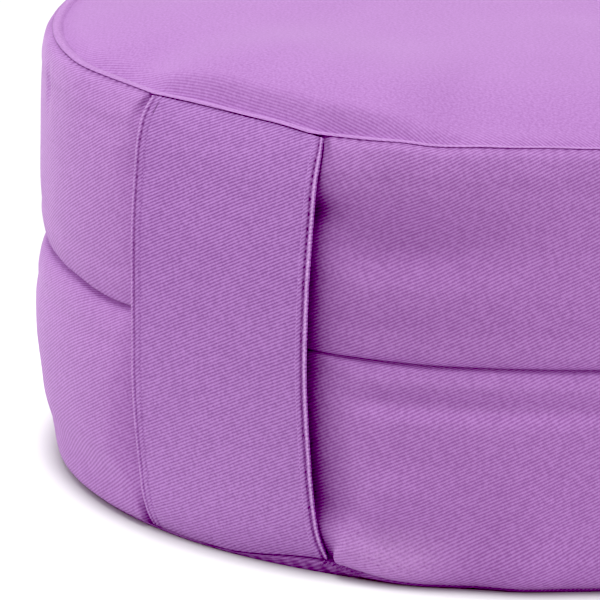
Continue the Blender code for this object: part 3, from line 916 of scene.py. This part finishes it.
        from_ends = np.minimum(np.abs(self.top_height - height), np.abs(height - self.base_height))
        from_seam = np.minimum(np.abs(height - self.middle_height), from_ends)
        from_seam = np.where(on_top, np.clip(setback + self.ridge_width, 0.0, None), from_seam)
        gathers = self.gathers(start, from_seam)
        seated = smooth_step(0.0, 0.010, height)
        lift = lift + np.where(on_top, smooth_step(-self.ridge_width, 0.004, setback) * gathers, 0.0)
        low = 1.0 - smooth_step(0.4 * self.middle_height, 0.6 * self.middle_height, height)
        spread = low * self.wander(self.base_spread, degrees) * smooth_step(0.0, 0.002, height)
        radius = radius + inside * (aloft * (lump - self.dents(degrees, height)) + spread)
        radius = radius + np.where(on_top, 0.0, inside * seated * gathers)
        across, towards = radius * np.sin(turn), radius * np.cos(turn)
        straight = self.strap.stand_off(np.array(self.top_height)) - (self.top_radius - start_radius)
        beside = np.abs(across - self.strap.shift) - self.strap.half_width(np.array(self.top_height))
        beside = np.clip(beside, 0.0, None) / self.tuck_run_out
        straight = straight + self.tuck_slack * beside * beside
        tucked = towards + inside * (lower_of(towards, straight, 0.6 * MM) - towards)
        limit = self.strap.limit_behind(across, height)
        free = smooth_step(0.004, 0.020, np.minimum(self.top_height - height, height - self.base_height))
        pressed = np.where(towards > 0.0, lower_of(towards, limit, 1.0 * MM + 2.0 * MM * free), towards)
        held = height > self.base_height - self.seam_lip
        towards = np.where(on_top, tucked, np.where(held, pressed, towards))
        return np.stack([across, -towards, height + lift], axis=1)

    # ---- the cloth's own map
    def map_cloth(self, mesh: Mesh, degrees: Array, rows_down: Array) -> None:
        """Lay each panel's flat cloth over it, in metres, so that the twill runs as it was cut.

        Args:
            mesh: The settled cover.
            degrees: Direction of each vertex.
            rows_down: Place of each vertex down the outline.
        """
        corners = loop_vertices(mesh)
        starts, _, face_of = face_corners(mesh)
        face_row = np.maximum.reduceat(rows_down[corners], starts)
        panel_of_row = np.concatenate([[Panel.TOP.value]] + [np.full(rows, panel.value)
                                                              for panel, rows, _ in self.stretches()])
        panel = panel_of_row[face_row.astype(int)][face_of]
        turn = np.radians(degrees[corners])
        first = turn[starts][face_of]
        turn = np.where(turn - first > math.pi, turn - 2.0 * math.pi, turn)
        turn = np.where(turn - first < -math.pi, turn + 2.0 * math.pi, turn)
        angle = COVER_TWILL.rib_angle
        ribs = round(2.0 * math.pi * 0.1625 * math.sin(angle) / (COVER_TWILL.rib_spacing_mm * MM))
        round_the_side = ribs * COVER_TWILL.rib_spacing_mm * MM / (2.0 * math.pi * math.sin(angle))
        down = self.cloth_down()
        side_u = turn * round_the_side
        side_v = -np.interp(rows_down[corners], np.arange(len(down)), down)
        on_top = panel == Panel.TOP.value
        flat = on_top | (panel == Panel.BASE.value)
        from_pole = np.interp(rows_down[corners], np.arange(len(down)), np.minimum(down, down[-1] - down))
        points = coordinates(mesh)
        from_pole = np.where(on_top, self.cloth_out(points, degrees, rows_down)[corners], from_pole)
        turn = np.where(on_top, np.arctan2(points[corners, 0], -points[corners, 1]), turn)
        swing = np.where(on_top, COVER_TWILL.rib_angle - self.top_rib_direction,
                         self.base_rib_turn)
        disc = from_pole * np.exp(1j * (turn - 0.5 * math.pi + swing))
        u = np.where(flat, disc.real, side_u)
        v = np.where(flat, disc.imag, side_v)
        lay_map(mesh, u, v)

    def cloth_down(self) -> Array:
        """Length of cloth from the middle of the crown down to each row of the outline."""
        rows = [np.array([[0.0, self.top_height + self.seam_lip + self.crown_height]])]
        for _, count, curve in self.stretches():
            rows.append(curve(np.linspace(0.0, 1.0, count + 1))[1:])
        steps = np.diff(np.concatenate(rows), axis=0)
        return np.concatenate(([0.0], np.cumsum(np.hypot(steps[:, 0], steps[:, 1]))))

    def build(self) -> bpy.types.Object:
        """Turn, settle, map and dress the cover.

        Returns:
            The finished cushion.
        """
        mesh, radius, degrees, rows_down = self.turned()
        height = coordinates(mesh)[:, 2]
        top_rows = sum(rows for panel, rows, _ in self.stretches() if panel is Panel.TOP)
        on_top = rows_down < top_rows
        place_vertices(mesh, self.settled(radius, degrees, height, on_top))
        self.map_cloth(mesh, degrees, rows_down)
        mark(mesh, WEAR_AND_PAINTED_LIGHT, self.wear_and_painted_light(rows_down, degrees))
        mark(mesh, NAP, self.nap(radius, degrees, on_top))
        return finished_object("cushion_cover", mesh, COVER_TWILL.material())

    def nap(self, radius: Array, degrees: Array, on_top: Array) -> Array:
        """The nap is raised where the cushion is sat on, and on the side that is carried outwards.

        Args:
            radius: Distance of each vertex from the axis.
            degrees: Its direction.
            on_top: True for the top panel.

        Returns:
            How far the nap hides the ribs there.
        """
        at_rim = smooth_step(0.930 * self.top_radius, 0.980 * self.top_radius, radius)
        sat_on = self.nap_sat_on - self.nap_lost_at_rim * at_rim
        carried = self.nap_carried * around(degrees, -85.0, 72.0)
        return np.where(on_top, sat_on, carried)

    def wear_and_painted_light(self, rows_down: Array, degrees: Array) -> Array:
        """The cloth is paler where it is folded hard over the top seam's allowance; painted light pales a
        spot low beside the strap, and painted shade darkens the top seam and the base's underside.
        """
        stretches = self.stretches()
        ridge_start = stretches[0][1]
        ridge_rows = stretches[1][1]
        seam_row = ridge_start + ridge_rows + stretches[2][1]
        pale = self.ridge_pale * soft_bump(rows_down - ridge_start - 0.5 * ridge_rows, 0.6 * ridge_rows)
        # Painted shade in the top seam's crevice, lighter to the right of the strap and near -46 degrees.
        strength = ((self.seam_painted_shade - self.seam_painted_shade_eased * right_of_strap(14.0, 24.0, degrees))
                    * (1.0 - 0.6 * around(degrees, -46.0, 14.0)))
        side_rows = stretches[3][1] + stretches[4][1]
        # Painted light: a pale spot low on the side, just right of the strap's foot.
        foot_light = self.foot_painted_light * (around(degrees, 22.0, 11.0)
                                 * soft_bump(rows_down - seam_row - side_rows + 9.0, 11.0))
        # Painted shade on the base's underside, where it rolls under to the floor.
        under_shade = self.under_painted_shade * smooth_step(1.0, 3.0, rows_down - seam_row - side_rows)
        return pale + foot_light - under_shade - strength * np.clip(1.0 - 0.75 * np.abs(rows_down - seam_row), 0.0, 1.0)


# ---------------------------------------------------------------- the carry strap
@dataclass
class CarryStrap:
    """The wide flat strap of folded twill, hemmed and stitched down both sides."""

    line: StrapLine
    cover: FilledCover
    rows: int = 190
    middle_columns: int = 26
    hem_columns: int = 22
    fine_edge: float = 0.0052
    thickness: float = 0.0012
    hem_rise: float = 0.00025
    bead_width: float = 0.0015
    groove_width: float = 0.00034
    groove_depth: float = 0.00034
    stitch_inset: float = 0.0015
    stitch_pitch: float = 0.0024
    edge_rounding: float = 0.00045
    back_painted_shade: float = 0.75
    hem_rib_turn: float = math.radians(9.0)
    bead_pale: float = 0.22
    right_bead_painted_light: float = 0.26
    low_painted_light: float = 0.08

    def stations(self) -> Array:
        """Distances across the strap as shares of its half width, close together at the hems."""
        fine = self.fine_edge / 0.0356
        inner = np.linspace(0.0, 1.0 - fine, self.middle_columns // 2 + 1)
        outer = 1.0 - fine * np.linspace(1.0, 0.0, self.hem_columns + 1)[1:] ** 1.6
        half = np.concatenate([inner, outer])
        return np.concatenate([-half[:0:-1], half])

    def face_point(self, across_share: Array, up_share: Array) -> Array:
        """Points of the strap's outer face.

        Args:
            across_share: -1 to 1 across it.
            up_share: 0 to 1 up it.

        Returns:
            The points, one row each.
        """
        bottom = self.line.base_height + self.line.sewn_gap
        top = self.line.top_height - self.line.sewn_gap
        level = bottom + (top - bottom) * up_share
        half = self.line.half_width(level)
        across = half * across_share
        degrees = np.degrees(np.arctan2(across + self.line.shift, 0.1547))
        lift = (self.cover.wander(self.cover.top_wander, degrees)
                * smooth_step(self.line.middle_height, self.line.top_height, level)
                + (self.cover.wander(self.cover.base_wander, degrees) - self.cover.base_sag)
                * (1.0 - smooth_step(self.line.base_height, self.line.base_height + 0.020, level)))
        outward = self.line.stand_off(level) + self.line.bow(level) * (1.0 - across_share ** 2)
        from_edge = half * (1.0 - np.abs(across_share))
        hem = 1.0 - smooth_step(self.line.hem_width - 0.3 * MM, self.line.hem_width + 0.3 * MM, from_edge)
        pull = 0.75 + 0.25 * np.cos(2.0 * math.pi * level / self.stitch_pitch)
        groove = pull * np.exp(-((from_edge - self.bead_width) / self.groove_width) ** 2)
        crease = np.exp(-((from_edge - self.line.hem_width - 0.3 * MM) / (0.35 * MM)) ** 2)
        outward = outward + self.hem_rise * hem - self.groove_depth * groove - 0.12 * MM * crease
        where = np.stack([across, level, 0.0 * level], axis=1)
        outward = outward + 0.35 * MM * rough(where, 0.030, 5.0) + 0.10 * MM * rough(where, 0.011, 9.0)
        sideways = 0.10 * MM * rough(where, 0.016, 13.0) * np.sign(across_share) * hem
        return np.stack([across + self.line.shift + sideways, -outward, level + lift], axis=1)

    def build(self) -> bpy.types.Object:
        """Bend a grid to the strap's face, thicken it inwards, round its edges and dress it.

        Returns:
            The finished strap.
        """
        stations = self.stations()
        columns = len(stations) - 1
        sheet = bmesh.new()
        bmesh.ops.create_grid(sheet, x_segments=columns, y_segments=self.rows, size=1.0)
        across_of = sheet.verts.layers.float.new("across")
        up_of = sheet.verts.layers.float.new("up")
        for vertex in sheet.verts:
            vertex[across_of] = float(stations[round((vertex.co.x + 1.0) * 0.5 * columns)])
            linear = (vertex.co.y + 1.0) * 0.5
            vertex[up_of] = 0.35 * (0.5 - 0.5 * math.cos(math.pi * linear)) + 0.65 * linear
        across_share = np.array([vertex[across_of] for vertex in sheet.verts])
        up_share = np.array([vertex[up_of] for vertex in sheet.verts])
        for vertex, point in zip(sheet.verts, self.face_point(across_share, up_share)):
            vertex.co = point
        sheet.normal_update()
        bmesh.ops.solidify(sheet, geom=sheet.faces[:], thickness=self.thickness)
        rim = [edge for edge in sheet.edges if edge.calc_face_angle(0.0) > math.radians(60.0)
               and abs((edge.verts[0].co - edge.verts[1].co).z) > 1e-5]
        bmesh.ops.bevel(sheet, geom=rim, offset=self.edge_rounding, offset_type="OFFSET", segments=3,
                        profile=0.5, affect="EDGES", clamp_overlap=True, material=-1)
        bmesh.ops.recalc_face_normals(sheet, faces=sheet.faces)
        mesh = bpy.data.meshes.new("strap_cloth")
        sheet.to_mesh(mesh)
        sheet.free()
        self.map_cloth(mesh)
        return finished_object("strap_cloth", mesh, STRAP_TWILL.material())

    def map_cloth(self, mesh: Mesh) -> None:
        """Lay the flat strap over itself in metres, with its ribs turned steeper along the hems.

        Args:
            mesh: The strap's closed mesh.
        """
        points = coordinates(mesh)
        levels = np.linspace(0.0, 0.15, 301)
        run = np.hypot(np.diff(levels), np.diff(self.line.stand_off(levels)))
        length = np.concatenate(([0.0], np.cumsum(run)))
        up = np.interp(points[:, 2], levels, length)
        corners = loop_vertices(mesh)
        starts, totals, face_of = face_corners(mesh)
        sideways = points[:, 0] - self.line.shift
        across = sideways[corners]
        middle = np.add.reduceat(across, starts) / totals
        half = self.line.half_width(points[:, 2])[corners]
        inner = half - self.line.hem_width
        in_hem = np.abs(middle)[face_of] > inner
        turn = self.hem_rib_turn
        v = up[corners]
        hem_u = across * math.cos(turn) + v * math.sin(turn)
        hem_v = v * math.cos(turn) - across * math.sin(turn)
        u = np.where(in_hem, hem_u, across)
        v = np.where(in_hem, hem_v, v)
        lay_map(mesh, u, v)
        from_edge = self.line.half_width(points[:, 2]) - np.abs(sideways)
        on_right = smooth_step(-0.01, 0.01, sideways)
        # The bead is pale from wear on both sides; the right bead is painted paler still, as painted light on
        # a lit edge.
        bead = self.bead_pale + self.right_bead_painted_light * on_right
        bead = bead * (1.0 - smooth_step(0.0004, 0.0012, from_edge))
        # Painted shade along the hem groove, full on the right edge and weaker on the left.
        groove = np.exp(-((from_edge - self.bead_width) / (1.5 * self.groove_width)) ** 2)
        groove = groove * (on_right + (1.0 - on_right) * (0.25 + 0.5 * smooth_step(0.04, 0.10, points[:, 2])))
        # Painted light: the strap is painted paler towards its bottom.
        low_light = self.low_painted_light * (1.0 - smooth_step(0.0, 0.11, points[:, 2]))
        front = self.line.stand_off(points[:, 2]) + self.line.bow(points[:, 2]) * (
            1.0 - (sideways / self.line.half_width(points[:, 2])) ** 2)
        inside = smooth_step(0.0005, 0.0010, front + points[:, 1])
        # Painted shade on the strap's back near its edges.
        back_shade = self.back_painted_shade * inside * (1.0 - smooth_step(0.0008, 0.0024, from_edge))
        # Pale bead and lower strap (wear and painted light) except in the groove and on the back, minus
        # painted shade in the groove and on the back near the edges.
        mark(mesh, WEAR_AND_PAINTED_LIGHT, np.maximum(bead, low_light) * (1.0 - groove) * (1.0 - inside)
             - np.maximum(groove * (1.0 - inside), back_shade))

    def stitch_places(self) -> Places:
        """Middle, direction and outward side of each stitch of the two hem rows.

        Returns:
            One (middle, along, outward) for each stitch.
        """
        bottom = self.line.base_height + self.line.sewn_gap
        top = self.line.top_height - self.line.sewn_gap
        first = math.ceil((bottom + 0.001) / self.stitch_pitch)
        last = math.floor((top - 0.001) / self.stitch_pitch)
        levels = (np.arange(first, last) + 0.5) * self.stitch_pitch
        places = []
        for side in (-1.0, 1.0):
            share = side * (1.0 - self.stitch_inset / self.line.half_width(levels))
            up = (levels - bottom) / (top - bottom)
            here = self.face_point(share, up)
            above = self.face_point(share, up + 0.004)
            inwards = self.face_point(share - 0.01 * side, up)
            for middle, higher, inner in zip(here, above, inwards):
                along = Vector(higher - middle).normalized()
                outward = Vector(inner - middle).cross(along).normalized() * side
                outward = outward if outward.y < 0.0 else -outward
                places.append((Vector(middle), along, outward))
        return places


# ---------------------------------------------------------------- stitches
@dataclass
class StitchRow:
    """A row of short lockstitches: each one a small thread that dips into the cloth at its ends."""

    length: float
    thickness: float
    sink: float = 0.00002

    def build(self, name: str, places: Places) -> bpy.types.Object:
        """Set a stitch at each place and join them in one mesh.

        Args:
            name: The piece's name.
            places: Middle, direction and outward side of each stitch.

        Returns:
            The finished row.
        """
        rows = bmesh.new()
        for middle, along, outward in places:
            side = outward.cross(along).normalized()
            turn = Matrix((side, outward, along)).transposed().to_4x4()
            turn.translation = middle - outward * self.sink
            made = bmesh.ops.create_icosphere(rows, subdivisions=1, radius=1.0)["verts"]
            bmesh.ops.scale(rows, vec=(0.5 * self.thickness, 0.5 * self.thickness, 0.5 * self.length),
                            verts=made)
            for vertex in made:
                dip = (vertex.co.z / (0.5 * self.length)) ** 2
                vertex.co.y -= 0.35 * self.thickness * dip
            bmesh.ops.transform(rows, matrix=turn, verts=made)
        mesh = bpy.data.meshes.new(name)
        rows.to_mesh(mesh)
        rows.free()
        return finished_object(name, mesh, PLUM_THREAD.material())


def corner_places(line: StrapLine, cover: FilledCover) -> Places:
    """Places of the thick slanted stitches that hold the strap's lower corner in the base seam.

    Args:
        line: The strap's line.
        cover: The cover that it is sewn to.

    Returns:
        One (middle, along, outward) for each stitch.
    """
    places = []
    for number in range(CORNER_STITCHES):
        degrees = CORNER_START + CORNER_STEP * number
        lift = float(cover.wander(cover.base_wander, np.array([degrees]))[0]) - cover.base_sag
        spread = float(cover.wander(cover.base_spread, np.array([degrees]))[0])
        turn = math.radians(degrees)
        outward = Vector((math.sin(turn), -math.cos(turn), 0.0))
        sideways = Vector((math.cos(turn), math.sin(turn), 0.0))
        middle = outward * (cover.base_radius + spread + 0.0003)
        middle.z = line.base_height + lift - 0.0006
        along = (sideways * 0.75 + Vector((0.0, 0.0, 1.0))).normalized()
        places.append((middle, along, (outward + Vector((0.0, 0.0, 0.2))).normalized()))
    return places


# ---------------------------------------------------------------- the studio
@dataclass
class Studio:
    """The pale floor, soft lights and the camera at the photograph's angle."""

    camera_azimuth: float = 37.4
    camera_elevation: float = 15.15
    camera_distance: float = 2.2
    aim_height: float = 0.07
    turn_left: float = 2.09
    tilt_up: float = -0.51
    roll: float = -0.77
    focal_pixels: float = 6623.5
    picture_pixels: float = 600.0
    sensor: float = 36.0
    floor_size: float = 30.0
    sky_strength: float = 0.50
    deep_black: tuple[float, float, float] = (0.062, 0.076, 0.078)
    light_distance: float = 2.3
    light_size: float = 1.0
    lights: Table = (
        # azimuth, elevation, power
        (-16.0, 80.0, 24.8), (20.0, 66.0, 13.0), (-100.0, 32.0, 8.2), (-60.0, 15.0, 14.4),
        (100.0, 15.0, 14.8),
    )

    def camera_place(self) -> Matrix:
        """Where the camera stands and how it is turned.

        Returns:
            The camera's matrix.
        """
        rise = math.radians(self.camera_elevation)
        place = Vector((0.0, -self.camera_distance * math.cos(rise),
                        self.aim_height + self.camera_distance * math.sin(rise)))
        forward = Vector((0.0, math.cos(rise), -math.sin(rise)))
        right = Vector((1.0, 0.0, 0.0))
        upward = right.cross(forward)
        for angle, axis_of in ((self.turn_left, lambda: Vector((0.0, 0.0, 1.0))),
                               (self.tilt_up, lambda: right.copy()), (self.roll, lambda: forward.copy())):
            turn = Matrix.Rotation(math.radians(angle), 3, axis_of())
            forward, right, upward = turn @ forward, turn @ right, turn @ upward
        round_object = Matrix.Rotation(math.radians(self.camera_azimuth), 3, "Z")
        matrix = Matrix((round_object @ right, round_object @ upward, round_object @ -forward))
        matrix = matrix.transposed().to_4x4()
        matrix.translation = round_object @ place
        return matrix

    def build_camera(self) -> None:
        """Set up the camera."""
        lens = bpy.data.cameras.new("photo_camera")
        lens.sensor_width = self.sensor
        lens.lens = self.focal_pixels / self.picture_pixels * self.sensor
        lens.clip_end = 100.0
        camera = bpy.data.objects.new("photo_camera", lens)
        camera.matrix_world = self.camera_place()
        bpy.context.scene.collection.objects.link(camera)
        bpy.context.scene.camera = camera

    def build_floor(self) -> bpy.types.Object:
        """Lay the floor.

        Returns:
            The floor.
        """
        grid = bmesh.new()
        bmesh.ops.create_grid(grid, x_segments=2, y_segments=2, size=0.5 * self.floor_size)
        mesh = bpy.data.meshes.new("floor")
        grid.to_mesh(mesh)
        grid.free()
        floor = finished_object("floor", mesh, GlowingFloor().material())
        return floor

    def build_lights(self) -> None:
        """Hang the soft boxes and light the sky."""
        for number, (azimuth, elevation, power) in enumerate(self.lights):
            box = bpy.data.lights.new(f"soft_box_{number}", "AREA")
            box.shape = "DISK"
            box.size = self.light_size
            box.energy = power
            lamp = bpy.data.objects.new(box.name, box)
            turn, rise = math.radians(azimuth), math.radians(elevation)
            away = Vector((math.sin(turn) * math.cos(rise), -math.cos(turn) * math.cos(rise), math.sin(rise)))
            lamp.location = Vector((0.0, 0.0, self.aim_height)) + away * self.light_distance
            lamp.rotation_euler = away.to_track_quat("Z", "Y").to_euler()
            bpy.context.scene.collection.objects.link(lamp)
        world = bpy.data.worlds.new("studio_sky")
        bpy.context.scene.world = world
        world.use_nodes = True
        sky = world.node_tree.nodes["Background"]
        sky.inputs["Color"].default_value = (1.0, 1.0, 1.0, 1.0)
        sky.inputs["Strength"].default_value = self.sky_strength

    def build(self) -> None:
        """Set up the whole studio."""
        self.build_camera()
        self.build_floor()
        self.build_lights()
        print_tone = bpy.context.scene.view_settings
        print_tone.view_transform = "Standard"
        print_tone.look = "None"
        print_tone.use_curve_mapping = True
        print_tone.curve_mapping.black_level = self.deep_black
        print_tone.curve_mapping.update()


def main() -> None:
    """Build the cushion piece by piece, then the studio around it."""
    logging.basicConfig(level=logging.INFO, format="%(name)s: %(message)s")
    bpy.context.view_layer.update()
    line = StrapLine()
    cover = FilledCover(line)
    cushion = cover.build()
    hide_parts("cushion_body")
    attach(cushion, "root")
    log.info("%s: %d faces", cushion.name, len(cushion.data.polygons))
    strap = CarryStrap(line, cover)
    cloth = strap.build()
    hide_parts("carry_handle")
    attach(cloth, "root")
    log.info("%s: %d faces", cloth.name, len(cloth.data.polygons))
    corner = StitchRow(length=0.0030, thickness=0.00055).build("corner_stitches", corner_places(line, cover))
    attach(corner, "root")
    log.info("%s: %d faces", corner.name, len(corner.data.polygons))
    stitches = StitchRow(length=0.0017, thickness=0.00034).build("strap_stitches", strap.stitch_places())
    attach(stitches, "root")
    log.info("%s: %d faces", stitches.name, len(stitches.data.polygons))
    Studio().build()
    bpy.context.view_layer.update()


if __name__ == "__main__":
    main()
